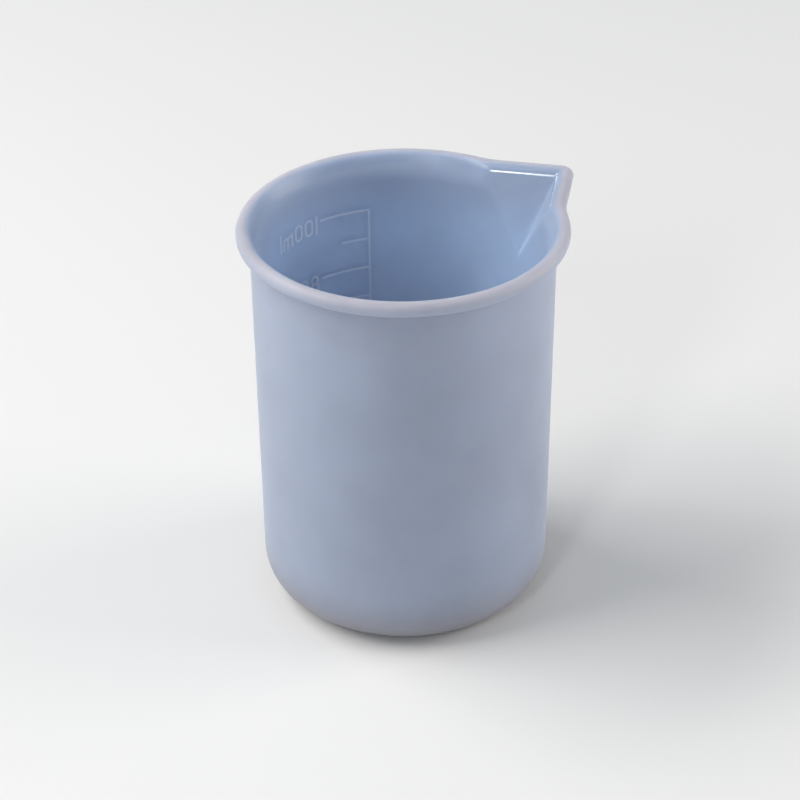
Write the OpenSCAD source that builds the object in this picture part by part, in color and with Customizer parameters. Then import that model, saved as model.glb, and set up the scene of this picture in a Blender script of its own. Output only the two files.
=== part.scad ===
// Resin mixing cup: a small beaker moulded in soft translucent silicone, with a rolled rim,
// a V-shaped pouring spout and a raised measuring scale on the outside of the wall.
// The origin is the middle of the base, +Z is up and the spout points along +X.

/* [Cup] */
// Height from the base to the top of the rim
cup_h = 70; // [55:1:90]
// Diameter over the rolled rim
rim_d = 55; // [46:0.5:66]
// Thickness of the wall
wall_t = 1.5; // [1.2:0.1:2.4]
// Thickness of the floor
floor_t = 2; // [1.4:0.1:3.6]
// Slope of the wall from upright, in degrees
draft_angle = 0.45; // [0.2:0.05:1.5]
// Outer radius of the rounded bottom corner
corner_r = 7; // [4:0.5:10]

/* [Rim] */
// How far the rolled rim stands out from the wall
rim_overhang = 2.2; // [1.9:0.1:2.8]
// Radius of the rim's rolled edge
lip_r = 1.25; // [1:0.05:1.4]
// Slope of the mouth's flare where it meets the rolled edge, in degrees from upright
flare_angle = 35; // [25:1:45]
// Radius of the hollow under the rim, where it meets the wall
neck_r = 0.7; // [0.4:0.1:0.9]
// Plain wall in the rim, below its curves
rim_foot_h = 0.3; // [0.2:0.1:2]

/* [Spout] */
// Angle from the middle of the spout to each end of its lip, in degrees
spout_half_angle = 22.5; // [18:0.5:30]
// How far the tip of the spout stands out past the rim
spout_reach = 7.7; // [5:0.1:9]
// How far down the wall the pouring groove runs from the top
groove_depth = 14; // [10:0.5:18]
// Thickness of the spout's two cheeks
cheek_t = 1.6; // [1.2:0.1:2.2]
// Plain wall below the outer foot of the spout
spout_foot_h = 1.5; // [1:0.5:5]

/* [Measuring scale] */
// Direction of the scale's upright line, in degrees from the spout
scale_angle = 70; // [60:1:240]
// Millilitres from one mark to the next
ml_step = 10; // [10:10:20]
// Lowest mark, in millilitres
first_ml = 20; // [20:20:40]
// Highest mark, in millilitres
top_ml = 100; // [60:20:200]
// Length of a long mark
long_tick = 9.8; // [6:0.1:14]
// Length of a short mark
short_tick = 5.3; // [3:0.1:9]
// Width of the lines and of the strokes of the numbers
line_w = 0.4; // [0.3:0.05:0.6]
// How far the marks stand out from the wall
mark_h = 0.25; // [0.15:0.05:0.5]
// Height of the numbers
digit_h = 3.2; // [2.4:0.1:4]
// Width of a number's digit
digit_w = 2; // [1.6:0.1:2.6]
// Width of the letter m
m_w = 3; // [2.4:0.1:3.6]
// How far the middle of a number lies below its mark
number_drop = 0.6; // [0:0.1:1.2]
// Gap between a mark, its number and the letters
glyph_gap = 0.6; // [0.4:0.05:1]

/* [Hidden] */
$fn = 96;
silicone = [0.78, 0.83, 0.91];
raised_silicone = [0.90, 0.93, 0.97];
past = 1;           // how far a cutter reaches past what it cuts
arc_steps = 8;      // straight steps in a quarter of a moulded curve
oval_share = 0.48;  // corner radius of an oval stroke, as a share of its short side

// The rim in section: a rolled lip round the end of a flared mouth, with a hollow under it.
rim_r = rim_d / 2;
wall_top_r = rim_r - rim_overhang;
mouth_r = wall_top_r - wall_t;
lip_x = rim_r - lip_r;
lip_z = cup_h - lip_r;
flare_r = (lip_x - lip_r * cos(flare_angle) - mouth_r) / (1 - cos(flare_angle));
flare_x = mouth_r + flare_r;
flare_z = lip_z + (lip_r - flare_r) * sin(flare_angle);
flare_end = 180 - flare_angle;
neck_x = wall_top_r + neck_r;
neck_z = lip_z - sqrt(pow(lip_r + neck_r, 2) - pow(lip_x - neck_x, 2));
neck_angle = atan2(neck_z - lip_z, neck_x - lip_x);
rim_z = min(flare_z, neck_z) - rim_foot_h;

// The wall leans outwards from the base to the foot of the rim.
function outer_r(z) = wall_top_r - (rim_z - z) * tan(draft_angle);
function inner_r(z) = mouth_r - (rim_z - z) * tan(draft_angle);
inner_corner_r = corner_r - wall_t;
inner_corner_z = floor_t + inner_corner_r;
outer_corner_x = outer_r(corner_r) - corner_r;
inner_corner_x = inner_r(inner_corner_z) - inner_corner_r;
base_h = floor_t + corner_r;

function arc(centre, r, from, to, steps = arc_steps) =
    [for (i = [0:steps])
        let (a = from + (to - from) * i / steps)
        [centre[0] + r * cos(a), centre[1] + r * sin(a)]];

// The spout in plan: its lip runs straight from the rim to the tip on each side.
tip_x = rim_r + spout_reach - lip_r;
lip_end = [lip_x * cos(spout_half_angle), lip_x * sin(spout_half_angle)];
cheek_slope = lip_end[1] / (tip_x - lip_end[0]);
cheek_angle = atan(cheek_slope);
groove_top_x = tip_x - lip_r / sin(cheek_angle);
groove_z = cup_h - groove_depth;
groove_lean = (groove_top_x - inner_r(groove_z)) / groove_depth;
// The cheeks' outer faces lie cheek_t out from the inner ones, square to them.
cheek_normal_x = sin(cheek_angle) / norm([1, groove_lean * sin(cheek_angle)]);
cheek_shift = cheek_t / cheek_normal_x;
ridge_foot_z = cup_h - (groove_top_x + cheek_shift - wall_top_r) / groove_lean;
spout_z = min(ridge_foot_z, groove_z) - spout_foot_h;

// Volume held below a height, and the height that a volume fills, from the inner shape.
corner_volume = PI * inner_corner_r * (pow(inner_corner_x, 2)
    + PI / 2 * inner_corner_x * inner_corner_r + 2 / 3 * pow(inner_corner_r, 2));
function volume_below(z) = corner_volume + PI / (3 * tan(draft_angle))
    * (pow(inner_r(z), 3) - pow(inner_r(inner_corner_z), 3));
function height_of(volume) = inner_corner_z
    + (pow(pow(inner_r(inner_corner_z), 3)
        + 3 * tan(draft_angle) / PI * (volume - corner_volume), 1 / 3)
        - inner_r(inner_corner_z)) / tan(draft_angle);
mm3_per_ml = 1000;
long_step = 2 * ml_step;
// The highest mark's number stays one gap below the rim, so a low cup has fewer marks.
room_ml = volume_below(rim_z - digit_h / 2 - glyph_gap) / mm3_per_ml;
last_ml = min(top_ml, long_step * floor(room_ml / long_step));
long_marks = [first_ml:long_step:last_ml];
short_marks = [first_ml + ml_step:long_step:last_ml];
function mark_z(ml) = height_of(ml * mm3_per_ml);

// Angle that a length spans round the outside of the wall
function wall_angle(length) = length / wall_top_r * 180 / PI;

// Numbers start one gap past the end of the long marks.
label_start = line_w / 2 + long_tick + glyph_gap;
function glyph_w(c) = c == "1" || c == "l" ? line_w : c == "m" ? m_w : digit_w;
function text_w(s, count) = count == 0 ? 0 : text_w(s, count - 1) + glyph_w(s[count - 1]) + glyph_gap;

module base_profile() {
    polygon(concat(
        [[0, 0]],
        arc([outer_corner_x, corner_r], corner_r, -90, 0),
        [[outer_r(base_h), base_h], [inner_r(base_h), base_h]],
        arc([inner_corner_x, inner_corner_z], inner_corner_r, 0, -90),
        [[0, floor_t]]));
}

module wall_profile(low, high) {
    polygon([[inner_r(low), low], [outer_r(low), low], [outer_r(high), high], [inner_r(high), high]]);
}

module rim_profile() {
    polygon(concat(
        [[mouth_r, rim_z], [wall_top_r, rim_z]],
        arc([neck_x, neck_z], neck_r, 180, neck_angle + 180),
        arc([lip_x, lip_z], lip_r, neck_angle, 90, 2 * arc_steps),
        arc([lip_x, lip_z], lip_r, 90, flare_end),
        arc([flare_x, flare_z], flare_r, flare_end, 180)));
}

// Everything inside the round mouth, from below the spout to above the rim
module mouth_void() {
    rotate_extrude()
        polygon(concat(
            [[0, spout_z - past], [inner_r(spout_z - past), spout_z - past], [mouth_r, rim_z]],
            arc([flare_x, flare_z], flare_r, 180, flare_end),
            arc([lip_x, lip_z], lip_r, flare_end, 90),
            [[lip_x, cup_h + past], [0, cup_h + past]]));
}

// The wedge of the cup that the spout takes the place of
module spout_window() {
    reach = 2 * rim_d;
    translate([0, 0, spout_z])
        linear_extrude(cup_h)
            polygon([[0, 0],
                     [reach, -reach * tan(spout_half_angle)],
                     [reach, reach * tan(spout_half_angle)]]);
}

// A wedge between two sloping cheeks, which meet in the groove; shift moves it outwards.
module cheek_wedge(shift, top) {
    back_x = mouth_r / 2;
    front_x = groove_top_x + shift + (top - cup_h) * groove_lean;
    foot_z = top - (front_x - back_x) / groove_lean;
    half_w = (front_x - back_x) * cheek_slope;
    polyhedron(
        points = [[front_x, 0, top], [back_x, half_w, top], [back_x, -half_w, top], [back_x, 0, foot_z]],
        faces = [[0, 2, 1], [0, 1, 3], [0, 3, 2], [1, 2, 3]]);
}

// The lip of the spout, as thick as the rolled edge of the rim
module spout_lip() {
    hull()
        for (p = [[tip_x, 0], lip_end, [lip_end[0], -lip_end[1]]])
            translate([p[0], p[1], lip_z])
                sphere(lip_r, $fn = 32);
}

// A mark in section: a thin layer on the outside of the wall, between two heights
module mark_profile(low, high) {
    polygon([[outer_r(low), low],
             [outer_r(low) + mark_h, low],
             [outer_r(high) + mark_h, high],
             [outer_r(high), high]]);
}

// A mark that starts at the upright line and runs round the wall
module tick(z, length) {
    rotate([0, 0, scale_angle + wall_angle(line_w / 2)])
        rotate_extrude(angle = wall_angle(length))
            mark_profile(z - line_w / 2, z + line_w / 2);
}

// A stroke of straight runs through its points, with mitred corners
function left_of(from, to) = [from[1] - to[1], to[0] - from[0]] / norm(to - from);
function mitre(points, i) =
    let (before = left_of(points[max(i - 1, 0)], points[max(i, 1)]),
         last = len(points) - 1,
         after = left_of(points[min(i, last - 1)], points[min(i + 1, last)]))
    (before + after) / (1 + before * after);
module stroke(points) {
    last = len(points) - 1;
    polygon(concat(
        [for (i = [0:last]) points[i] + line_w / 2 * mitre(points, i)],
        [for (i = [last:-1:0]) points[i] - line_w / 2 * mitre(points, i)]));
}

// A stroke that runs round a half circle, above its centre
module arch(centre, r) {
    translate(centre)
        difference() {
            circle(r + line_w / 2, $fn = 48);
            circle(r - line_w / 2, $fn = 48);
            translate([-2 * r, -4 * r])
                square(4 * r);
        }
}

// A closed oval stroke that fills a width and a height
module loop(w, h) {
    difference() {
        oval(w, h);
        translate([line_w, line_w])
            oval(w - 2 * line_w, h - 2 * line_w);
    }
}

module oval(w, h) {
    r = oval_share * min(w, h);
    translate([r, 0])
        square([w - 2 * r, h]);
    translate([0, r])
        square([w, h - 2 * r]);
    for (x = [r, w - r], y = [r, h - r])
        translate([x, y])
            circle(r, $fn = 48);
}

module glyph(c) {
    e = line_w / 2;
    w = glyph_w(c);
    h = digit_h;
    if (c == "1" || c == "l") {
        stroke([[e, 0], [e, h]]);
    } else if (c == "0") {
        loop(w, h);
    } else if (c == "2") {
        turn_y = h - w / 2;
        arch([w / 2, turn_y], w / 2 - e);
        stroke([[w - e, turn_y], [line_w, e], [w, e]]);
    } else if (c == "4") {
        stem_x = 0.72 * w;
        bar_y = 0.3 * h;
        stroke([[stem_x, 0], [stem_x, h]]);
        stroke([[stem_x, h - e], [line_w, bar_y], [w, bar_y]]);
    } else if (c == "6") {
        bowl_h = 0.6 * h;
        tail_x = 0.66 * w;
        loop(w, bowl_h);
        stroke([[e, bowl_h / 2], [tail_x, h]]);
    } else if (c == "8") {
        waist = 0.54 * h;
        top_w = 0.88 * w;
        loop(w, waist);
        translate([(w - top_w) / 2, waist - line_w])
            loop(top_w, h - waist + line_w);
    } else if (c == "m") {
        leg = (w - line_w) / 2;
        m_h = 0.7 * h;
        turn_y = m_h - e - leg / 2;
        stroke([[e, 0], [e, m_h]]);
        for (x = [e, e + leg]) {
            arch([x + leg / 2, turn_y], leg / 2);
            stroke([[x + leg, 0], [x + leg, turn_y]]);
        }
    }
}

// One character standing on the wall, with its left edge at a distance along the wall
// from the upright line and its middle just below the height of a mark
module wall_glyph(c, along, z) {
    rotate([0, 0, scale_angle + wall_angle(along + glyph_w(c) / 2)])
        translate([wall_top_r / 2, -glyph_w(c) / 2, z - number_drop - digit_h / 2])
            rotate([90, 0, 90])
                linear_extrude(rim_r)
                    glyph(c);
}

module cup_base() {
    color(silicone)
        rotate_extrude()
            base_profile();
}

module cup_wall() {
    color(silicone)
        difference() {
            rotate_extrude()
                wall_profile(base_h, rim_z);
            spout_window();
        }
}

module rim_bead() {
    color(silicone)
        difference() {
            rotate_extrude()
                rim_profile();
            spout_window();
        }
}

module pouring_spout() {
    color(silicone)
        intersection() {
            difference() {
                union() {
                    rotate_extrude()
                        wall_profile(spout_z, lip_z);
                    cheek_wedge(cheek_shift, lip_z);
                    spout_lip();
                }
                mouth_void();
                cheek_wedge(0, cup_h + past);
            }
            spout_window();
        }
}

module scale_line() {
    color(raised_silicone)
        rotate([0, 0, scale_angle - wall_angle(line_w / 2)])
            rotate_extrude(angle = wall_angle(line_w))
                mark_profile(mark_z(first_ml) - line_w / 2, mark_z(last_ml) + line_w / 2);
}

module long_ticks() {
    color(raised_silicone)
        for (ml = long_marks)
            tick(mark_z(ml), long_tick);
}

module short_ticks() {
    color(raised_silicone)
        for (ml = short_marks)
            tick(mark_z(ml), short_tick);
}

module scale_numbers() {
    color(raised_silicone)
        intersection() {
            for (ml = long_marks)
                for (i = [0:len(str(ml)) - 1])
                    wall_glyph(str(ml)[i], label_start + text_w(str(ml), i), mark_z(ml));
            rotate_extrude()
                mark_profile(base_h, rim_z);
        }
}

module unit_letters() {
    unit = "ml";
    start = label_start + text_w(str(last_ml), len(str(last_ml)));
    color(raised_silicone)
        intersection() {
            for (i = [0:len(unit) - 1])
                wall_glyph(unit[i], start + text_w(unit, i), mark_z(last_ml));
            rotate_extrude()
                mark_profile(base_h, rim_z);
        }
}

cup_base();
cup_wall();
rim_bead();
pouring_spout();
scale_line();
long_ticks();
short_ticks();
scale_numbers();
unit_letters();
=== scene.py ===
import math

import bpy
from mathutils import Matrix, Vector


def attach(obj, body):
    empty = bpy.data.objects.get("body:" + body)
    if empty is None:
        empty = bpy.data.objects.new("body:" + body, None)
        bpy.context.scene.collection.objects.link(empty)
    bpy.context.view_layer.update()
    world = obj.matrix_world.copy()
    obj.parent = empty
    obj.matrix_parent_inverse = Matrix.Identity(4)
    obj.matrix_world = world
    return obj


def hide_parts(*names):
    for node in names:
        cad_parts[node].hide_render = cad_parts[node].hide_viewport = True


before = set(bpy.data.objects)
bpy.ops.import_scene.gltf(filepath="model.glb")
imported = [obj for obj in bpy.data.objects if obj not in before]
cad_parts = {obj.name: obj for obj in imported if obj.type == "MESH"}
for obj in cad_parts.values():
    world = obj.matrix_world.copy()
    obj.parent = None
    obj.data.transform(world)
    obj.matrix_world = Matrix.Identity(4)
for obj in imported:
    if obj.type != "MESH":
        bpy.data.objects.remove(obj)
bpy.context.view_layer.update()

# The camera looks down into the cup from in front, with the spout to the right and turned
# away. Lengths are in millimetres, as in the part's source, and MM turns them into metres.
MM = 0.001
PHOTO_WIDTH = 800
SPOUT_BEARING = math.radians(34.5)   # the spout's direction, from the camera's right
CAMERA_TILT = math.radians(32.6)
CAMERA_DISTANCE = 420
CAMERA_ROLL = math.radians(-0.4)
FOCAL_PIXELS = 2450
SENSOR_WIDTH = 36
AIM_HEIGHT = 35                      # half way up the cup's axis
AIM_PIXEL = (404.4, 401.7)           # where that spot lies in the photo's frame

toward_camera = Vector((-math.sin(SPOUT_BEARING) * math.cos(CAMERA_TILT),
                        -math.cos(SPOUT_BEARING) * math.cos(CAMERA_TILT),
                        math.sin(CAMERA_TILT)))
camera_data = bpy.data.cameras.new("camera")
camera_data.sensor_width = SENSOR_WIDTH
camera_data.lens = FOCAL_PIXELS / PHOTO_WIDTH * SENSOR_WIDTH
camera_data.shift_x = 0.5 - AIM_PIXEL[0] / PHOTO_WIDTH
camera_data.shift_y = AIM_PIXEL[1] / PHOTO_WIDTH - 0.5
camera = bpy.data.objects.new("camera", camera_data)
camera.location = (Vector((0, 0, AIM_HEIGHT)) + toward_camera * CAMERA_DISTANCE) * MM
camera.rotation_mode = "QUATERNION"
camera.rotation_quaternion = (-toward_camera).to_track_quat("-Z", "Y")
camera.rotation_mode = "XYZ"
camera.rotation_euler.rotate_axis("Z", CAMERA_ROLL)
bpy.context.scene.collection.objects.link(camera)
bpy.context.scene.camera = camera

# The moulded cup: one skin of milky silicone that carries the floor, the wall, the rolled rim
# and the spout, cast in one shot. Its section is turned round the axis by Geometry Nodes,
# and the two flat cheeks of the spout push it outwards where they lie beyond the round.
CUP_H = 70
FLOOR_T = 2
WALL_T = 1.5
CORNER_R = 7
DRAFT = math.tan(math.radians(0.45))
RIM_R = 27.5
WALL_TOP_R = 25.3
MOUTH_R = WALL_TOP_R - WALL_T
LIP_R = 1.25
LIP_X = RIM_R - LIP_R
LIP_Z = CUP_H - LIP_R
FLARE_ANGLE = math.radians(35)
FLARE_R = (LIP_X - LIP_R * math.cos(FLARE_ANGLE) - MOUTH_R) / (1 - math.cos(FLARE_ANGLE))
FLARE_Z = LIP_Z + (LIP_R - FLARE_R) * math.sin(FLARE_ANGLE)
FLARE_TOP = LIP_Z + LIP_R * math.sin(FLARE_ANGLE)
NECK_R = 0.7
NECK_X = WALL_TOP_R + NECK_R
NECK_Z = LIP_Z - math.sqrt((LIP_R + NECK_R) ** 2 - (LIP_X - NECK_X) ** 2)
NECK_ANGLE = math.atan2(NECK_Z - LIP_Z, NECK_X - LIP_X)
RIM_FOOT_H = 0.3         # how far below its flare the rim starts, with a straight outside
RIM_Z = min(FLARE_Z, NECK_Z) - RIM_FOOT_H

SPOUT_HALF_ANGLE = math.radians(22.5)
SPOUT_REACH = 7.7        # from the middle of the rim's lip to the same at the spout's tip
TIP_X = LIP_X + SPOUT_REACH
CHEEK_SLOPE = LIP_X * math.sin(SPOUT_HALF_ANGLE) / (TIP_X - LIP_X * math.cos(SPOUT_HALF_ANGLE))
CHEEK_ANGLE = math.atan(CHEEK_SLOPE)
GROOVE_TOP_X = TIP_X - LIP_R / math.sin(CHEEK_ANGLE)
GROOVE_DEPTH = 14
CHEEK_T = 1.6
LAND_SLOPE = math.radians(35)   # of the lip's flat, down towards the groove
EDGE_ROUND = 0.45        # how far the crisp inner edge is rounded to each side
RIDGE_ROUND = 2.2        # plan radius where the two cheeks meet outside
TIP_ROUND = 1.0          # and along the middle of the lip
GROOVE_ROUND = 0.3       # and in the groove
OUTER_BLEND = 0.9        # how softly the cheeks grow out of the round, outside
INNER_BLEND = 0.35       # and inside


def outer_r(z):
    """Outside radius of the tapered wall."""
    return WALL_TOP_R - (RIM_Z - z) * DRAFT


def inner_r(z):
    """Inside radius of the tapered wall."""
    return MOUTH_R - (RIM_Z - z) * DRAFT


GROOVE_LEAN = (GROOVE_TOP_X - inner_r(CUP_H - GROOVE_DEPTH)) / GROOVE_DEPTH
CHEEK_NORMAL = math.sin(CHEEK_ANGLE) / math.hypot(1, GROOVE_LEAN * math.sin(CHEEK_ANGLE))


def inner_cheek(z):
    """How far a cheek's inner face lies from the axis, square to the cheek in plan."""
    return (GROOVE_TOP_X + (z - CUP_H) * GROOVE_LEAN) * math.sin(CHEEK_ANGLE)


def outer_cheek(z):
    """The same for a cheek's outer face."""
    return inner_cheek(z) + CHEEK_T / CHEEK_NORMAL * math.sin(CHEEK_ANGLE)


def mouth_r(z):
    """Inside radius of the plain rim: the rolled lip, the flare and the wall below it."""
    if z > FLARE_TOP:
        return LIP_X - math.sqrt(LIP_R ** 2 - min(z - LIP_Z, LIP_R) ** 2)
    if z > FLARE_Z:
        return MOUTH_R + FLARE_R - math.sqrt(FLARE_R ** 2 - (z - FLARE_Z) ** 2)
    return inner_r(z)


def turn(centre, radius, start, end, steps):
    """Points along an arc, both ends included."""
    angles = [start + (end - start) * i / steps for i in range(steps + 1)]
    return [(centre[0] + radius * math.cos(a), centre[1] + radius * math.sin(a)) for a in angles]


def spaced(low, high, steps):
    """Evenly spaced values, both ends included."""
    return [low + (high - low) * i / steps for i in range(steps + 1)]


# Each station of the section: ring (r, z), cheek (distance, z), plan rounding at the tip,
# softness of the blend, 1 for the inside of the cup and 1 for the crisp edge of the cheeks.
STATION_LENGTHS = ("ring_r", "ring_z", "cheek_n", "cheek_z", "tip_round", "blend")
STATION_SHARES = ("inside", "crisp")
FLAT_STEPS = 5           # stations across the flat of the base and of the floor
CORNER_STEPS = 14        # round the bottom corner, outside
INNER_CORNER_STEPS = 12  # and inside
PLAIN_STEPS = 12         # up the wall below the spout
OUTER_CHEEK_FOOT = 49    # the spout starts above this height outside: from here up
INNER_CHEEK_FOOT = 51    # the stations lie closer, and inside from this one
OUTER_CHEEK_STEPS = 26
INNER_CHEEK_STEPS = 24
RIM_FOOT_STEPS = 4       # up the rim's straight outside
HOLLOW_STEPS = 8
LIP_STEPS = 20
UNDER_LIP_STEPS = 4      # over these the ridge's rounding turns into the tip's
TOP_STEPS = 6            # from the top of the lip down to the start of its flat
LAND_STEPS = 3
EDGE_STEPS = 6
FLARE_STEPS = 16
FADE_STEPS = 8           # over these the outside's finish turns into the inside's
stations = []


def add_stations(ring, cheek, roundings, blend, shares, crisp=None):
    """Adds stations that have one blend. Without a list of crisp ones, none is crisp."""
    for number, (ring_place, cheek_place) in enumerate(zip(ring, cheek)):
        stations.append((*ring_place, *cheek_place, roundings[number], blend, shares[number],
                         crisp[number] if crisp else 0))


def add_outer(ring):
    """Stations of the outside, where the cheeks stand at the ring's own heights."""
    cheek = [(outer_cheek(z), z) for r, z in ring]
    add_stations(ring, cheek, [RIDGE_ROUND] * len(ring), OUTER_BLEND, [0] * len(ring))


def add_inner(ring):
    """Stations of the inside, below its flare."""
    cheek = [(inner_cheek(z), z) for r, z in ring]
    add_stations(ring, cheek, [GROOVE_ROUND] * len(ring), INNER_BLEND, [1] * len(ring))


# The base, its corner and the wall, from the middle of the base upwards
corner_x = outer_r(CORNER_R) - CORNER_R
add_outer([(r, 0) for r in spaced(0, corner_x, FLAT_STEPS)[:-1]])
add_outer(turn((corner_x, CORNER_R), CORNER_R, -math.pi / 2, 0, CORNER_STEPS))
plain = spaced(CORNER_R, OUTER_CHEEK_FOOT, PLAIN_STEPS)[1:-1]
add_outer([(outer_r(z), z) for z in plain + spaced(OUTER_CHEEK_FOOT, RIM_Z, OUTER_CHEEK_STEPS)])
add_outer([(WALL_TOP_R, z) for z in spaced(RIM_Z, NECK_Z, RIM_FOOT_STEPS)[1:-1]])

# The hollow under the lip, round the rim and along the cheeks
lip_n = TIP_X * math.sin(CHEEK_ANGLE)
lean = math.atan(GROOVE_LEAN * math.sin(CHEEK_ANGLE))
face_n = outer_cheek(LIP_Z) - lip_n
down_face = Vector((-math.sin(lean), -math.cos(lean)))
off_face = Vector((math.cos(lean), -math.sin(lean)))
start = Vector((face_n, 0)) + NECK_R * off_face
half = start.dot(down_face)
reach = -half + math.sqrt(half ** 2 - start.length_squared + (LIP_R + NECK_R) ** 2)
hollow = start + reach * down_face
hollow_end = math.atan2(hollow.y, hollow.x)
hollow_centre = (lip_n + hollow.x, LIP_Z + hollow.y)
ring = turn((NECK_X, NECK_Z), NECK_R, math.pi, NECK_ANGLE + math.pi, HOLLOW_STEPS)
cheek = turn(hollow_centre, NECK_R, math.pi - lean, hollow_end + math.pi, HOLLOW_STEPS)
add_stations(ring, cheek, [RIDGE_ROUND] * len(ring), OUTER_BLEND, [0] * len(ring))

# The rolled lip, from under its edge to its top
ring = turn((LIP_X, LIP_Z), LIP_R, NECK_ANGLE, math.pi / 2, LIP_STEPS)
cheek = turn((lip_n, LIP_Z), LIP_R, hollow_end, math.pi / 2, LIP_STEPS)
roundings = [max(TIP_ROUND + n - lip_n, TIP_ROUND) for n, z in cheek]
roundings[:UNDER_LIP_STEPS] = spaced(RIDGE_ROUND, roundings[UNDER_LIP_STEPS], UNDER_LIP_STEPS)[:-1]
add_stations(ring[1:], cheek[1:], roundings[1:], OUTER_BLEND, [0] * LIP_STEPS)

# From the top of the lip down into the cup: a flare all round, and a sloping flat on the
# cheeks that ends in a crisp edge
cheek = turn((lip_n, LIP_Z), LIP_R, math.pi / 2, math.pi / 2 + LAND_SLOPE, TOP_STEPS)
land_start = Vector(cheek[-1])
land_way = Vector((-math.cos(LAND_SLOPE), -math.sin(LAND_SLOPE)))
land_w = (land_start.x - inner_cheek(land_start.y)) / (
    math.cos(LAND_SLOPE) - math.tan(lean) * math.sin(LAND_SLOPE))
edge = land_start + land_w * land_way
before = edge - EDGE_ROUND * land_way
after = edge + EDGE_ROUND * down_face
cheek += [tuple(land_start.lerp(before, t)) for t in spaced(0, 1, LAND_STEPS)[1:]]
first_edge = len(cheek)
cheek += [tuple(before.lerp(edge, t).lerp(edge.lerp(after, t), t))
          for t in spaced(0, 1, EDGE_STEPS)[1:]]
cheek += [(inner_cheek(z), z) for z in spaced(after.y, FLARE_Z, FLARE_STEPS)[1:]]
ring = [(mouth_r(z), z) for n, z in cheek]
shares = [min(1, row / FADE_STEPS) for row in range(len(ring))]
roundings = [max(TIP_ROUND - (TIP_ROUND - GROOVE_ROUND) * share, GROOVE_ROUND) for share in shares]
crisp = [int(first_edge <= row < first_edge + EDGE_STEPS - 1) for row in range(len(ring))]
add_stations(ring[1:], cheek[1:], roundings[1:], INNER_BLEND, shares[1:], crisp[1:])

# The inside of the wall, its corner and the floor
inner_corner_r = CORNER_R - WALL_T
corner_z = FLOOR_T + inner_corner_r
inner_corner_x = inner_r(corner_z) - inner_corner_r
plain = spaced(INNER_CHEEK_FOOT, corner_z, PLAIN_STEPS)
add_inner([(inner_r(z), z)
           for z in spaced(FLARE_Z, INNER_CHEEK_FOOT, INNER_CHEEK_STEPS)[1:-1] + plain])
add_inner(turn((inner_corner_x, corner_z), inner_corner_r, 0, -math.pi / 2, INNER_CORNER_STEPS)[1:])
add_inner([(r, FLOOR_T) for r in spaced(inner_corner_x, 0, FLAT_STEPS)[1:]])


class Value:
    """A socket's output in a node tree. Python arithmetic on it adds Math nodes."""

    def __init__(self, sheet, socket):
        self.sheet, self.socket = sheet, socket

    def __add__(self, other):
        return self.sheet.maths("ADD", self, other)

    def __sub__(self, other):
        return self.sheet.maths("SUBTRACT", self, other)

    def __rsub__(self, other):
        return self.sheet.maths("SUBTRACT", other, self)

    def __mul__(self, other):
        return self.sheet.maths("MULTIPLY", self, other)

    def __truediv__(self, other):
        return self.sheet.maths("DIVIDE", self, other)

    def __rtruediv__(self, other):
        return self.sheet.maths("DIVIDE", other, self)

    def __pow__(self, other):
        return self.sheet.maths("POWER", self, other)

    def __mod__(self, other):
        return self.sheet.maths("FLOORED_MODULO", self, other)

    def __abs__(self):
        return self.sheet.maths("ABSOLUTE", self)

    __radd__ = __add__
    __rmul__ = __mul__


class Sheet:
    """A node tree under construction."""

    def __init__(self, tree):
        self.tree = tree

    def node(self, kind, settings=None, sockets=None, pick=0):
        """Adds a node, its settings before its sockets' values or links. Returns one output."""
        made = self.tree.nodes.new(kind)
        for name, value in (settings or {}).items():
            setattr(made, name, value)
        shown = [s for s in made.inputs if s.enabled]
        for key, value in (sockets or {}).items():
            socket = shown[key] if isinstance(key, int) else next(s for s in shown if s.name == key)
            if isinstance(value, Value):
                self.tree.links.new(value.socket, socket)
            else:
                socket.default_value = value
        shown = [s for s in made.outputs if s.enabled]
        if not shown:
            return None
        if isinstance(pick, int):
            return Value(self, shown[pick])
        return Value(self, next(s for s in shown if s.name == pick))

    def maths(self, operation, *values):
        return self.node("ShaderNodeMath", {"operation": operation}, dict(enumerate(values)))

    def clamped(self, value):
        return self.node("ShaderNodeClamp", None, {"Value": value})

    def least(self, a, b):
        return self.maths("MINIMUM", a, b)

    def most(self, a, b):
        return self.maths("MAXIMUM", a, b)

    def mixed(self, share, a, b):
        return self.node("ShaderNodeMix", {"data_type": "RGBA"}, {"Factor": share, "A": a, "B": b})

    def rise(self, value, low, high):
        """0 below low, 1 above high and smooth between."""
        return self.node("ShaderNodeMapRange", {"interpolation_type": "SMOOTHSTEP"},
                         {"Value": value, "From Min": low, "From Max": high})

    def joined(self, x, y, z=0):
        return self.node("ShaderNodeCombineXYZ", None, {"X": x, "Y": y, "Z": z})

    def split(self, vector):
        first = self.node("ShaderNodeSeparateXYZ", None, {"Vector": vector})
        return [Value(self, s) for s in first.socket.node.outputs]

    def vectors(self, operation, *values, pick="Vector"):
        return self.node("ShaderNodeVectorMath", {"operation": operation},
                         dict(enumerate(values)), pick)

    def length(self, vector):
        return self.vectors("LENGTH", vector, pick="Value")


def new_shape_tree(name, inputs):
    """A Geometry Nodes tree with named inputs. Returns its sheet, geometry and input values."""
    tree = bpy.data.node_groups.new(name, "GeometryNodeTree")
    tree.interface.new_socket("Geometry", in_out="INPUT", socket_type="NodeSocketGeometry")
    for label in inputs:
        kind = "NodeSocketInt" if isinstance(inputs[label], int) else "NodeSocketFloat"
        tree.interface.new_socket(label, in_out="INPUT", socket_type=kind)
    tree.interface.new_socket("Geometry", in_out="OUTPUT", socket_type="NodeSocketGeometry")
    entry = tree.nodes.new("NodeGroupInput")
    sheet = Sheet(tree)
    return sheet, *[Value(sheet, s) for s in entry.outputs[:len(inputs) + 1]]


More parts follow.
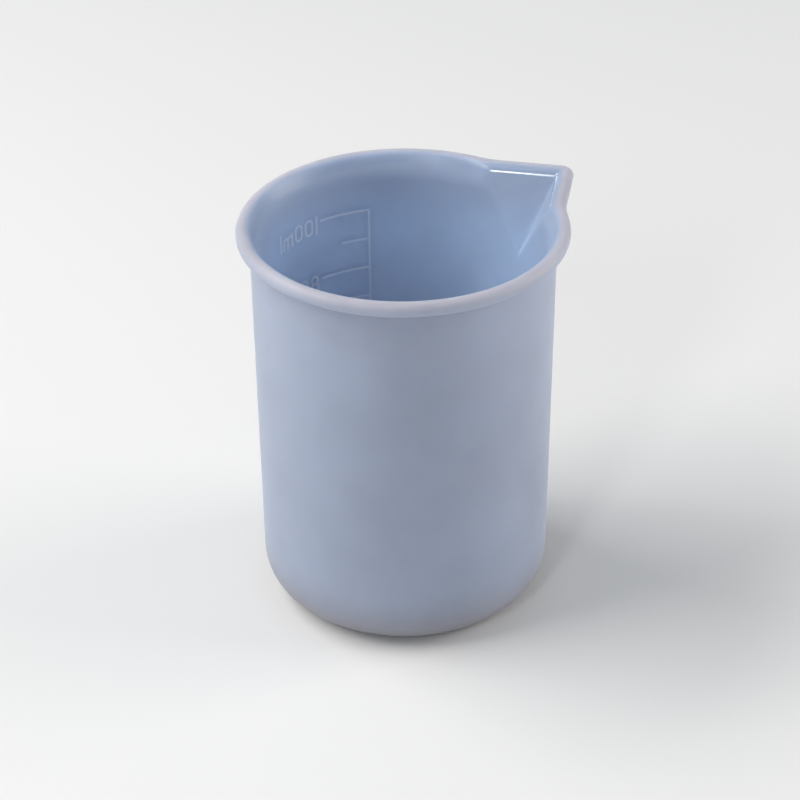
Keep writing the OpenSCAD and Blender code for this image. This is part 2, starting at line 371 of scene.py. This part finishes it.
def finish_shape_tree(sheet, geometry, material):
    """Ends a tree in plain, smooth faces of one material."""
    solid = sheet.node("GeometryNodeRealizeInstances", None, {"Geometry": geometry})
    smooth = sheet.node("GeometryNodeSetShadeSmooth", None, {"Geometry": solid})
    painted = sheet.node("GeometryNodeSetMaterial", None,
                         {"Geometry": smooth, "Material": material})
    sheet.node("NodeGroupOutput", None, {"Geometry": painted})


def grow(name, start_mesh, sheet, inputs):
    """Runs a tree on a starting mesh and keeps the result as a plain mesh."""
    draft = bpy.data.objects.new(name + "_draft", start_mesh)
    bpy.context.scene.collection.objects.link(draft)
    modifier = draft.modifiers.new("shape", "NODES")
    modifier.node_group = sheet.tree
    for item in sheet.tree.interface.items_tree:
        if item.in_out == "INPUT" and item.name in inputs:
            modifier[item.identifier] = inputs[item.name]
    evaluated = draft.evaluated_get(bpy.context.evaluated_depsgraph_get())
    mesh = bpy.data.meshes.new_from_object(evaluated)
    bpy.data.objects.remove(draft)
    mesh.name = name
    piece = bpy.data.objects.new(name, mesh)
    bpy.context.scene.collection.objects.link(piece)
    return piece


# The strokes of the measuring scale, which is moulded on the outside and shows through the
# wall; that show-through is painted light on the inside of the cup. A stroke is a run of straight
# lines, an arch or an oval, along its middle: x goes round the wall and y up.
SCALE_ANGLE = math.radians(70)
LONG_MARKS = (20, 40, 60, 80, 100)
SHORT_MARKS = (30, 50, 70, 90)
LONG_STEP = 20
LONG_TICK = 9.8
SHORT_TICK = 5.3
LINE_W = 0.4
HALF_LINE = LINE_W / 2
MARK_H = 0.25
DIGIT_H = 3.2
DIGIT_W = 2
M_W = 3
GLYPH_GAP = 0.6
NUMBER_DROP = 0.6
OVAL_SHARE = 0.48        # an oval's corner radius, as a share of its smaller side
FOUR_STEM = 0.72         # where the upright of a 4 stands, as a share of the width
FOUR_BAR = 0.3           # how high its bar lies, as a share of the height
SIX_BOWL = 0.6
SIX_TOP = 0.66           # where a 6 ends at the top, as a share of the width
EIGHT_WAIST = 0.54
EIGHT_TOP = 0.88
SMALL_H = 0.7            # the height of the m, as a share of a figure's
MM3_PER_ML = 1000

# What the floor's rounded edge holds, and what a cone of the wall's taper holds per cubed radius
corner_ml = math.pi * inner_corner_r * (
    inner_corner_x ** 2 + math.pi / 2 * inner_corner_x * inner_corner_r
    + 2 / 3 * inner_corner_r ** 2) / MM3_PER_ML
cone_ml = math.pi / (3 * DRAFT) / MM3_PER_ML
label_start = HALF_LINE + LONG_TICK + GLYPH_GAP


def mark_z(ml):
    """The height to which a volume fills the cup."""
    cube = inner_r(corner_z) ** 3 + (ml - corner_ml) / cone_ml
    return corner_z + (cube ** (1 / 3) - inner_r(corner_z)) / DRAFT


def glyph_w(sign):
    """The width of a figure or letter."""
    return {"1": LINE_W, "l": LINE_W, "m": M_W}.get(sign, DIGIT_W)


def glyph(sign):
    """The strokes of one figure or letter, from its lower left corner."""
    e, w, h = HALF_LINE, glyph_w(sign), DIGIT_H
    if sign in "1l":
        return [("run", (e, 0), (e, h))]
    if sign == "0":
        return [("oval", (0, 0), w, h)]
    if sign == "2":
        turn_y = h - w / 2
        return [("arch", (w / 2, turn_y), w / 2 - e),
                ("run", (w - e, turn_y), (LINE_W, e), (w, e))]
    if sign == "4":
        stem, bar = FOUR_STEM * w, FOUR_BAR * h
        return [("run", (stem, 0), (stem, h)), ("run", (stem, h - e), (LINE_W, bar), (w, bar))]
    if sign == "6":
        bowl = SIX_BOWL * h
        return [("oval", (0, 0), w, bowl), ("run", (e, bowl / 2), (SIX_TOP * w, h))]
    if sign == "8":
        waist, top_w = EIGHT_WAIST * h, EIGHT_TOP * w
        return [("oval", (0, 0), w, waist),
                ("oval", ((w - top_w) / 2, waist - LINE_W), top_w, h - waist + LINE_W)]
    leg, m_h = (w - LINE_W) / 2, SMALL_H * h
    turn_y = m_h - e - leg / 2
    strokes = [("run", (e, 0), (e, m_h))]
    for x in (e, e + leg):
        strokes += [("arch", (x + leg / 2, turn_y), leg / 2),
                    ("run", (x + leg, turn_y), (x + leg, 0))]
    return strokes


def set_in_line(signs):
    """Each sign of a word with the distance to its left edge."""
    places = [sum(glyph_w(s) + GLYPH_GAP for s in signs[:i]) for i in range(len(signs))]
    return list(zip(signs, places))


# Distances from a spot to a stroke, in the nodes of the silicone's colour, for the painted light of
# the marks seen through the wall
def run_distance(paint, spot, start, end):
    """To a straight line, from the nearest spot of it."""
    way = Vector((*end, 0)) - Vector((*start, 0))
    offset = paint.vectors("SUBTRACT", spot, (*start, 0))
    share = paint.vectors("DOT_PRODUCT", offset, way / way.length_squared, pick="Value")
    nearest_spot = paint.vectors("SCALE", way, paint.clamped(share))
    return paint.length(paint.vectors("SUBTRACT", offset, nearest_spot))


def arch_distance(paint, spot, centre, radius):
    """To a half circle that stands on its two ends."""
    x, y, z = paint.split(paint.vectors("SUBTRACT", spot, (*centre, 0)))
    bend = paint.length(paint.joined(x, paint.most(y, 0))) - radius
    return paint.length(paint.joined(bend, paint.least(y, 0)))


def oval_distance(paint, spot, corner, width, height):
    """To a box with round corners. The box is alike on all sides, so one quarter is worked out."""
    radius = OVAL_SHARE * min(width, height) - HALF_LINE
    centre = (corner[0] + width / 2, corner[1] + height / 2, 0)
    flat = (width / 2 - HALF_LINE - radius, height / 2 - HALF_LINE - radius, 0)
    quarter = paint.vectors("ABSOLUTE", paint.vectors("SUBTRACT", spot, centre))
    x, y, z = paint.split(paint.vectors("SUBTRACT", quarter, flat))
    corner_gap = paint.length(paint.vectors("MAXIMUM", paint.joined(x, y), (0, 0, 0)))
    return abs(corner_gap + paint.least(paint.most(x, y), 0) - radius)


def stroke_distance(paint, spot, stroke):
    """To a stroke of any kind."""
    kind, *sizes = stroke
    if kind == "arch":
        return arch_distance(paint, spot, *sizes)
    if kind == "oval":
        return oval_distance(paint, spot, *sizes)
    return nearest(paint, [run_distance(paint, spot, *ends) for ends in zip(sizes, sizes[1:])])


def nearest(paint, distances):
    """The smallest of several distances."""
    least = distances[0]
    for distance in distances[1:]:
        least = paint.least(least, distance)
    return least


def glyph_distance(paint, along, up, sign, place):
    """Distance to a figure whose left edge is at a place past the end of its long mark."""
    spot = paint.joined(along - (label_start + place), up + (NUMBER_DROP + DIGIT_H / 2))
    return nearest(paint, [stroke_distance(paint, spot, stroke) for stroke in glyph(sign)])


ELSEWHERE = 9   # added to the distance of a stroke that another mark has


def scale_distance(paint, x, y, z):
    """How far a spot of the wall is from the nearest stroke of the scale, in millimetres."""
    along = (paint.maths("ARCTAN2", y, x) - SCALE_ANGLE) * WALL_TOP_R
    radius = MOUTH_R - (RIM_Z - z) * DRAFT
    held = corner_ml + cone_ml * (radius ** 3 - inner_r(corner_z) ** 3)
    mm_per_ml = MM3_PER_ML / math.pi / (radius * radius)
    steps = held / LONG_STEP
    number = paint.most(paint.least(paint.maths("ROUND", steps), len(LONG_MARKS)), 1)
    above = (held - number * LONG_STEP) * mm_per_ml
    half_number = paint.most(paint.least(paint.maths("FLOOR", steps), len(SHORT_MARKS)), 1) + 0.5
    above_short = (held - half_number * LONG_STEP) * mm_per_ml
    past_end = paint.most(paint.most(mark_z(LONG_MARKS[0]) - z, z - mark_z(LONG_MARKS[-1])), 0)
    found = [paint.length(paint.joined(along, past_end)),
             run_distance(paint, paint.joined(along, above), (0, 0), (LONG_TICK, 0)),
             run_distance(paint, paint.joined(along, above_short), (0, 0), (SHORT_TICK, 0))]
    for count, ml in enumerate(LONG_MARKS, 1):
        word = str(ml) + ("ml" if ml == LONG_MARKS[-1] else "")
        signs = [glyph_distance(paint, along, above, sign, place)
                 for sign, place in set_in_line(word)]
        found.append(nearest(paint, signs) + ELSEWHERE * abs(number - count))
    return nearest(paint, found)


# The silicone is clear enough for light to come through it, and light and shade are painted into
# its colours: painted shade makes the foot darker and the inside darker at the mouth, and painted
# light makes the rim paler and greyer, the inside lighter and bluer than the outside, and the
# inside lighter towards the bottom.
OUTSIDE_COLOUR = (0.325, 0.37, 0.47, 1)
# Painted shade and painted light: the foot is darker, in shade near the floor, and warmer, as light
# that comes through the wall.
FOOT_SHADE_COLOUR = (0.27, 0.26, 0.29, 1)
# Painted light: the rolled lip is paler and greyer, where its thick roll catches the light from
# above.
RIM_LIGHT_COLOUR = (0.36, 0.365, 0.43, 1)
# Painted light: the inside is lighter and bluer than the outside, for light that comes through the
# wall.
INSIDE_COLOUR = (0.32, 0.425, 0.59, 1)
# Painted shade: the inside is darker towards the mouth.
MOUTH_SHADE_COLOUR = (0.29, 0.36, 0.49, 1)
# Painted light: the inside grows lighter towards the bottom, for light that comes through the walls
# into the hollow.
BOTTOM_LIGHT_COLOUR = (0.60, 0.67, 0.78, 1)
# Painted light: the raised marks outside, seen through the wall as lighter lines on the inside.
SHOW_THROUGH_LIGHT_COLOUR = (0.50, 0.57, 0.70, 1)
FOOT_SHADE_FADE = 1.8 * CORNER_R   # the height at which the foot's colour ends
BOTTOM_LIGHT_FADE = CUP_H / 2      # and that of the bottom, inside
RIM_LIGHT_FADE = 0.6               # how far below the middle of the lip its paler colour ends
MARK_SHARE = 0.85            # how strongly a mark shows through the wall
MARK_BLUR = 0.14
CLOUD_SCALE = 70             # waves to the metre
CLOUD_DETAIL = 3
CLOUD_SPREAD = (0.2, 0.8)
CLOUD_TONE = 0.12            # from the darkest to the lightest cloud
GRAIN_SCALE = 1400
GRAIN_DETAIL = 2
GRAIN_STRENGTH = 0.25
GRAIN_DEPTH = 0.03 * MM
SATIN = 0.46                 # the outside's roughness
SMOOTHER_INSIDE = 0.15       # what comes off it inside
SMOOTHER_EDGE = 0.16         # and along the spout's polished edge
CLOUD_ROUGHNESS = 0.08       # how far it changes with the clouds
SILICONE_IOR = 1.41
EDGE_COAT_ROUGHNESS = 0.14
EDGE_COAT_IOR = 1.8
SCATTER_DEPTH = 5 * MM
SCATTER_SHARES = (1.0, 0.9, 0.8)


def milky_silicone(name, is_skin):
    """Milky silicone: clouded, satin outside and smoother inside, with a fine mould grain.

    The cup's skin has the scale painted on its inside as painted light, lighter lines where the
    raised marks outside show through the wall, and scatters light below its surface. The raised
    marks do neither: light that scatters where two strokes cross would leave a dark spot."""
    material = bpy.data.materials.new(name)
    material.use_nodes = True
    material.node_tree.nodes.clear()
    paint = Sheet(material.node_tree)
    place = paint.node("ShaderNodeTexCoord", None, None, "Object")
    inside = paint.node("ShaderNodeAttribute", {"attribute_name": "inside"}, None, "Fac")
    crisp = paint.node("ShaderNodeAttribute", {"attribute_name": "crisp"}, None, "Fac")
    x, y, z = paint.split(paint.vectors("SCALE", place, 1 / MM))
    cloud = paint.node("ShaderNodeTexNoise", None,
                       {"Vector": place, "Scale": CLOUD_SCALE, "Detail": CLOUD_DETAIL})
    grain = paint.node("ShaderNodeTexNoise", None,
                       {"Vector": place, "Scale": GRAIN_SCALE, "Detail": GRAIN_DETAIL})
    # Painted shade: darker towards the foot.
    outer = paint.mixed(paint.rise(z, 0, FOOT_SHADE_FADE), FOOT_SHADE_COLOUR, OUTSIDE_COLOUR)
    # Painted light: paler on the rolled lip.
    outer = paint.mixed(paint.rise(z, LIP_Z - RIM_LIGHT_FADE, CUP_H), outer, RIM_LIGHT_COLOUR)
    # Painted shade: darker inside towards the mouth.
    inner = paint.mixed(paint.rise(z, CUP_H - GROOVE_DEPTH, CUP_H), INSIDE_COLOUR, MOUTH_SHADE_COLOUR)
    # Painted light: lighter inside towards the bottom.
    inner = paint.mixed(paint.rise(z, 0, BOTTOM_LIGHT_FADE), BOTTOM_LIGHT_COLOUR, inner)
    if is_skin:
        # Painted light: lighter lines on the inside where the raised marks show through the wall.
        painted_show_through = paint.rise(scale_distance(paint, x, y, z) * -1,
                          -HALF_LINE - MARK_BLUR, -HALF_LINE + MARK_BLUR)
        inner = paint.mixed(painted_show_through * MARK_SHARE, inner, SHOW_THROUGH_LIGHT_COLOUR)
    colour = paint.mixed(inside, outer, inner)
    tone = paint.rise(cloud, *CLOUD_SPREAD) * CLOUD_TONE + (1 - CLOUD_TONE / 2)
    bump = paint.node("ShaderNodeBump", None,
                      {"Strength": GRAIN_STRENGTH, "Distance": GRAIN_DEPTH, "Height": grain})
    clouded = paint.node("ShaderNodeMix", {"data_type": "RGBA", "blend_type": "MULTIPLY"},
                         {"Factor": 1.0, "A": colour, "B": paint.joined(tone, tone, tone)})
    shader = paint.node("ShaderNodeBsdfPrincipled", None, {
        "Base Color": clouded,
        "Roughness": (SATIN - SMOOTHER_INSIDE * inside + CLOUD_ROUGHNESS * (cloud - 0.5)
                      - SMOOTHER_EDGE * crisp),
        "Normal": bump,
        "IOR": SILICONE_IOR,
        "Coat Weight": crisp,
        "Coat Roughness": EDGE_COAT_ROUGHNESS,
        "Coat IOR": EDGE_COAT_IOR,
        "Subsurface Weight": 1.0 if is_skin else 0.0,
        "Subsurface Radius": SCATTER_SHARES,
        "Subsurface Scale": SCATTER_DEPTH,
    })
    paint.node("ShaderNodeOutputMaterial", None, {"Surface": shader})
    return material


silicone = milky_silicone("milky_silicone", True)

# The skin is a grid with a row for each station and columns that go once round the cup, closer
# together at the spout. Each point takes the ring's place or the cheek's, whichever lies
# further out, with a soft change from one to the other. The first and last columns are sewn.
SEWING_DISTANCE = 0.001 * MM
SKIN_INPUTS = {"Columns": 448, "Crowding at the spout": 0.75, "Cheek angle": CHEEK_ANGLE}
sheet, section, columns, crowding, cheek_angle = new_shape_tree("moulded_cup", SKIN_INPUTS)
rows = sheet.node("GeometryNodeAttributeDomainSize", {"component": "MESH"}, {"Geometry": section})
grid = sheet.node("GeometryNodeMeshGrid", None, {"Vertices X": columns, "Vertices Y": rows})
index = sheet.node("GeometryNodeInputIndex")
row = index % rows
column = sheet.maths("FLOOR", index / rows + 0.5 / rows)


def of_station(name):
    """A value of the section's station in this row."""
    stored = sheet.node("GeometryNodeInputNamedAttribute", {"data_type": "FLOAT"},
                        {"Name": name})
    return sheet.node("GeometryNodeSampleIndex", {"data_type": "FLOAT", "domain": "POINT"},
                      {"Geometry": section, "Value": stored, "Index": row})


part = column / (columns - 1) - 0.5
angle = part * (2 * math.pi) - crowding * sheet.maths("SINE", part * (2 * math.pi))
ring_r, ring_z = of_station("ring_r"), of_station("ring_z")
cheek_n, cheek_z = of_station("cheek_n"), of_station("cheek_z")
tip_round, blend = of_station("tip_round"), of_station("blend")
sine, cosine = sheet.maths("SINE", cheek_angle), sheet.maths("COSINE", cheek_angle)
off_spout = abs(angle)
normal_angle = math.pi / 2 - cheek_angle
flat = cheek_n / sheet.maths("COSINE", sheet.least(off_spout, normal_angle) - normal_angle)
tip_centre = (cheek_n - tip_round) / sine
tip_end = sheet.maths("ARCTAN2", tip_round * cosine, tip_centre + tip_round * sine)
sideways = tip_centre * sheet.maths("SINE", angle)
tip = tip_centre * sheet.maths("COSINE", angle) + sheet.maths(
    "SQRT", sheet.most(tip_round * tip_round - sideways * sideways, 0))
in_tip = sheet.maths("LESS_THAN", off_spout, tip_end) * sheet.maths("GREATER_THAN", tip_centre, 0)
beyond = flat + in_tip * (tip - flat) - ring_r
share = sheet.clamped(0.5 + 0.5 * (beyond / blend))
radius = ring_r + share * beyond + blend * share * (1 - share)
height = ring_z + share * (cheek_z - ring_z)
place = sheet.node("ShaderNodeCombineXYZ", None, {
    "X": radius * sheet.maths("COSINE", angle),
    "Y": radius * sheet.maths("SINE", angle),
    "Z": height,
})
placed = sheet.node("GeometryNodeSetPosition", None, {"Geometry": grid, "Position": place})
for name, value in (("inside", of_station("inside")), ("crisp", of_station("crisp") * share)):
    placed = sheet.node("GeometryNodeStoreNamedAttribute",
                        {"data_type": "FLOAT", "domain": "POINT"},
                        {"Geometry": placed, "Name": name, "Value": value})
sewn = sheet.node("GeometryNodeMergeByDistance", None,
                  {"Geometry": placed, "Distance": SEWING_DISTANCE})
finish_shape_tree(sheet, sewn, silicone)

section_mesh = bpy.data.meshes.new("cup_section")
section_mesh.from_pydata([(station[0] * MM, 0, station[1] * MM) for station in stations], [], [])
for number, name in enumerate(STATION_LENGTHS + STATION_SHARES):
    unit = MM if name in STATION_LENGTHS else 1
    stored = section_mesh.attributes.new(name, "FLOAT", "POINT")
    stored.data.foreach_set("value", [station[number] * unit for station in stations])
cup = grow("moulded_cup", section_mesh, sheet, SKIN_INPUTS)
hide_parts("cup_base", "cup_wall", "rim_bead", "pouring_spout")
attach(cup, "root")

# The raised marks of the scale, moulded in one with the outside of the wall: half-round
# ridges along the strokes, laid round the wall by Geometry Nodes. They come out of grooves
# that a ball cutter left in the mould, so their ends are round.
RIDGE_SIDES = 12
END_STEPS = 3
END_W = 0.02             # share of the width that is left at the very end of a ridge
ARC_STEPS = 10           # to a quarter turn
LEG_STEP = 0.8           # the longest step of a straight leg, so that it bends with the wall


def run_shares(start, end):
    """Shares of a straight leg at which it bends with the wall."""
    return spaced(0, 1, math.ceil((Vector(end) - Vector(start)).length / LEG_STEP))


def stroke_path(stroke):
    """Points along a stroke, and whether it closes."""
    kind, *sizes = stroke
    if kind == "run":
        legs = zip(sizes, sizes[1:])
        return [Vector(a).lerp(Vector(b), t) for a, b in legs for t in run_shares(a, b)], False
    if kind == "arch":
        return turn(*sizes, math.pi, 0, 2 * ARC_STEPS), False
    (x, y), w, h = sizes
    r = OVAL_SHARE * min(w, h)
    right, top, left, low = x + w - r, y + h - r, x + r, y + r
    centres = ((right, top), (left, top), (left, low), (right, low))
    quarters = [turn(centre, r - HALF_LINE, a * math.pi / 2, (a + 1) * math.pi / 2, ARC_STEPS)
                for a, centre in enumerate(centres)]
    return sum(quarters, []), True


def step_in(end, inner, distance):
    """A spot at a distance from an end of a path, towards the next point of it."""
    return Vector(end) + distance * (Vector(inner) - Vector(end)).normalized()


def round_end(end, inner):
    """Points and widths that close a ridge in a half ball."""
    angles = [math.pi / 2 * i / END_STEPS for i in range(END_STEPS)]
    return [(step_in(end, inner, HALF_LINE * (1 - math.cos(a))), math.sin(a) + END_W)
            for a in angles]


def stroke_mesh(name, strokes):
    """A mesh of edges along strokes, each moved by its own offset, with the ridge's width."""
    points, edges, widths = [], [], []
    for stroke, offset in strokes:
        path, closed = stroke_path(stroke)
        spots = [(Vector(p), 1) for p in path]
        if not closed:
            first, last = round_end(path[0], path[1]), round_end(path[-1], path[-2])
            spots[0] = (step_in(path[0], path[1], HALF_LINE), 1)
            spots[-1] = (step_in(path[-1], path[-2], HALF_LINE), 1)
            spots = first + spots + last[::-1]
        base = len(points)
        points += [((p.x + offset[0]) * MM, (p.y + offset[1]) * MM, 0) for p, w in spots]
        widths += [w for p, w in spots]
        edges += [(base + i, base + i + 1) for i in range(len(spots) - 1)]
        if closed:
            edges.append((base + len(spots) - 1, base))
    mesh = bpy.data.meshes.new(name)
    mesh.from_pydata(points, edges, [])
    mesh.attributes.new("width", "FLOAT", "POINT").data.foreach_set("value", widths)
    return mesh


marks_silicone = milky_silicone("raised_silicone", False)
RIDGE_INPUTS = {"Line width": LINE_W * MM, "Ridge height": MARK_H * MM,
                "Round the wall": SCALE_ANGLE, "Sides": RIDGE_SIDES}
sheet, strokes, line_w, ridge_h, start_angle, sides = new_shape_tree(
    "scale_ridges", RIDGE_INPUTS)
paths = sheet.node("GeometryNodeMeshToCurve", None, {"Mesh": strokes})
upright = sheet.node("GeometryNodeSetCurveNormal", {"mode": "Z_UP"}, {"Curve": paths})
stored = sheet.node("GeometryNodeInputNamedAttribute", {"data_type": "FLOAT"}, {"Name": "width"})
tapered = sheet.node("GeometryNodeSetCurveRadius", None, {"Curve": upright, "Radius": stored})
ring = sheet.node("GeometryNodeCurvePrimitiveCircle", None,
                  {"Resolution": sides, "Radius": line_w / 2})
ridges = sheet.node("GeometryNodeCurveToMesh", None,
                    {"Curve": tapered, "Profile Curve": ring, "Fill Caps": True})
along, up, out = sheet.split(sheet.node("GeometryNodeInputPosition"))
wall = (WALL_TOP_R - RIM_Z * DRAFT) * MM + up * DRAFT
radius = wall + out * (ridge_h / (line_w / 2))
angle = start_angle + along / (WALL_TOP_R * MM)
place = sheet.joined(radius * sheet.maths("COSINE", angle), radius * sheet.maths("SINE", angle), up)
laid = sheet.node("GeometryNodeSetPosition", None, {"Geometry": ridges, "Position": place})
finish_shape_tree(sheet, laid, marks_silicone)


def written(signs, start, height):
    """The strokes of a word, its middle just below the height of its mark."""
    return [(stroke, (start + place, height - NUMBER_DROP - DIGIT_H / 2))
            for sign, place in set_in_line(signs) for stroke in glyph(sign)]


def ticks(marks, length):
    """The strokes of the marks of one length."""
    return [(("run", (0, 0), (HALF_LINE + length, 0)), (0, mark_z(ml))) for ml in marks]


letters_start = label_start + sum(glyph_w(sign) + GLYPH_GAP for sign in str(LONG_MARKS[-1]))
ends = [mark_z(LONG_MARKS[0]) - HALF_LINE, mark_z(LONG_MARKS[-1]) + HALF_LINE]
scale_strokes = {
    "scale_line": [(("run", (0, ends[0]), (0, ends[1])), (0, 0))],
    "long_ticks": ticks(LONG_MARKS, LONG_TICK),
    "short_ticks": ticks(SHORT_MARKS, SHORT_TICK),
    "scale_numbers": [stroke for ml in LONG_MARKS
                      for stroke in written(str(ml), label_start, mark_z(ml))],
    "unit_letters": written("ml", letters_start, mark_z(LONG_MARKS[-1])),
}
for name, drawn in scale_strokes.items():
    ridge = grow(name + "_ridge", stroke_mesh(name + "_strokes", drawn), sheet, RIDGE_INPUTS)
    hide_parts(name)
    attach(ridge, "root")

# The floor that the cup stands on, which isn't part of it: a plain, pale and matt sheet, wide
# enough to lie under the cup in every view.
FLOOR_SIZE = 3.0         # metres
FLOOR_COLOUR = (0.7, 0.7, 0.7, 1)
FLOOR_ROUGHNESS = 0.8
h = FLOOR_SIZE / 2
floor_mesh = bpy.data.meshes.new("floor")
floor_mesh.from_pydata([(-h, -h, 0), (h, -h, 0), (h, h, 0), (-h, h, 0)], [], [(0, 1, 2, 3)])
floor = bpy.data.objects.new("floor", floor_mesh)
bpy.context.scene.collection.objects.link(floor)
pale = bpy.data.materials.new("pale_floor")
pale.use_nodes = True
pale_shader = pale.node_tree.nodes["Principled BSDF"]
pale_shader.inputs["Base Color"].default_value = FLOOR_COLOUR
pale_shader.inputs["Roughness"].default_value = FLOOR_ROUGHNESS
floor_mesh.materials.append(pale)

# The studio: a dim bluish surround, two broad soft lamps at the sides, a weaker one behind and
# above, and a narrow one that draws the highlight along the spout's crisp edge. Each lamp is
# a rectangle that faces a spot on the cup's axis. Places and sizes are in metres.
SURROUND_COLOUR = (0.90, 0.98, 1.06, 1)
SURROUND_STRENGTH = 0.35
LAMP_AIM = Vector((0, 0, 0.03))
LAMPS = (
    # name, place, width, length, watts, colour
    ("left", (-0.56, 0.28, 0.64), 0.5, 0.5, 5.3, (1, 0.97, 0.93)),
    ("right", (0.68, -0.36, 0.30), 0.5, 0.5, 3.8, (1, 0.95, 0.90)),
    ("back", (-0.25, 0.45, 0.80), 0.3, 0.3, 2.6, (1, 0.98, 0.96)),
    ("glint", (-0.65, -0.42, 0.55), 0.12, 0.25, 1.3, (1, 1, 1)),
)

surround = bpy.data.worlds.new("studio")
bpy.context.scene.world = surround
surround.use_nodes = True
surround_shader = surround.node_tree.nodes["Background"]
surround_shader.inputs["Color"].default_value = SURROUND_COLOUR
surround_shader.inputs["Strength"].default_value = SURROUND_STRENGTH
for name, place, width, length, power, colour in LAMPS:
    light = bpy.data.lights.new(name, "AREA")
    light.shape, light.size, light.size_y = "RECTANGLE", width, length
    light.energy, light.color = power, colour
    lamp = bpy.data.objects.new(name, light)
    lamp.location = place
    lamp.rotation_euler = (LAMP_AIM - Vector(place)).to_track_quat("-Z", "Y").to_euler()
    bpy.context.scene.collection.objects.link(lamp)
bpy.context.scene.view_settings.view_transform = "Standard"
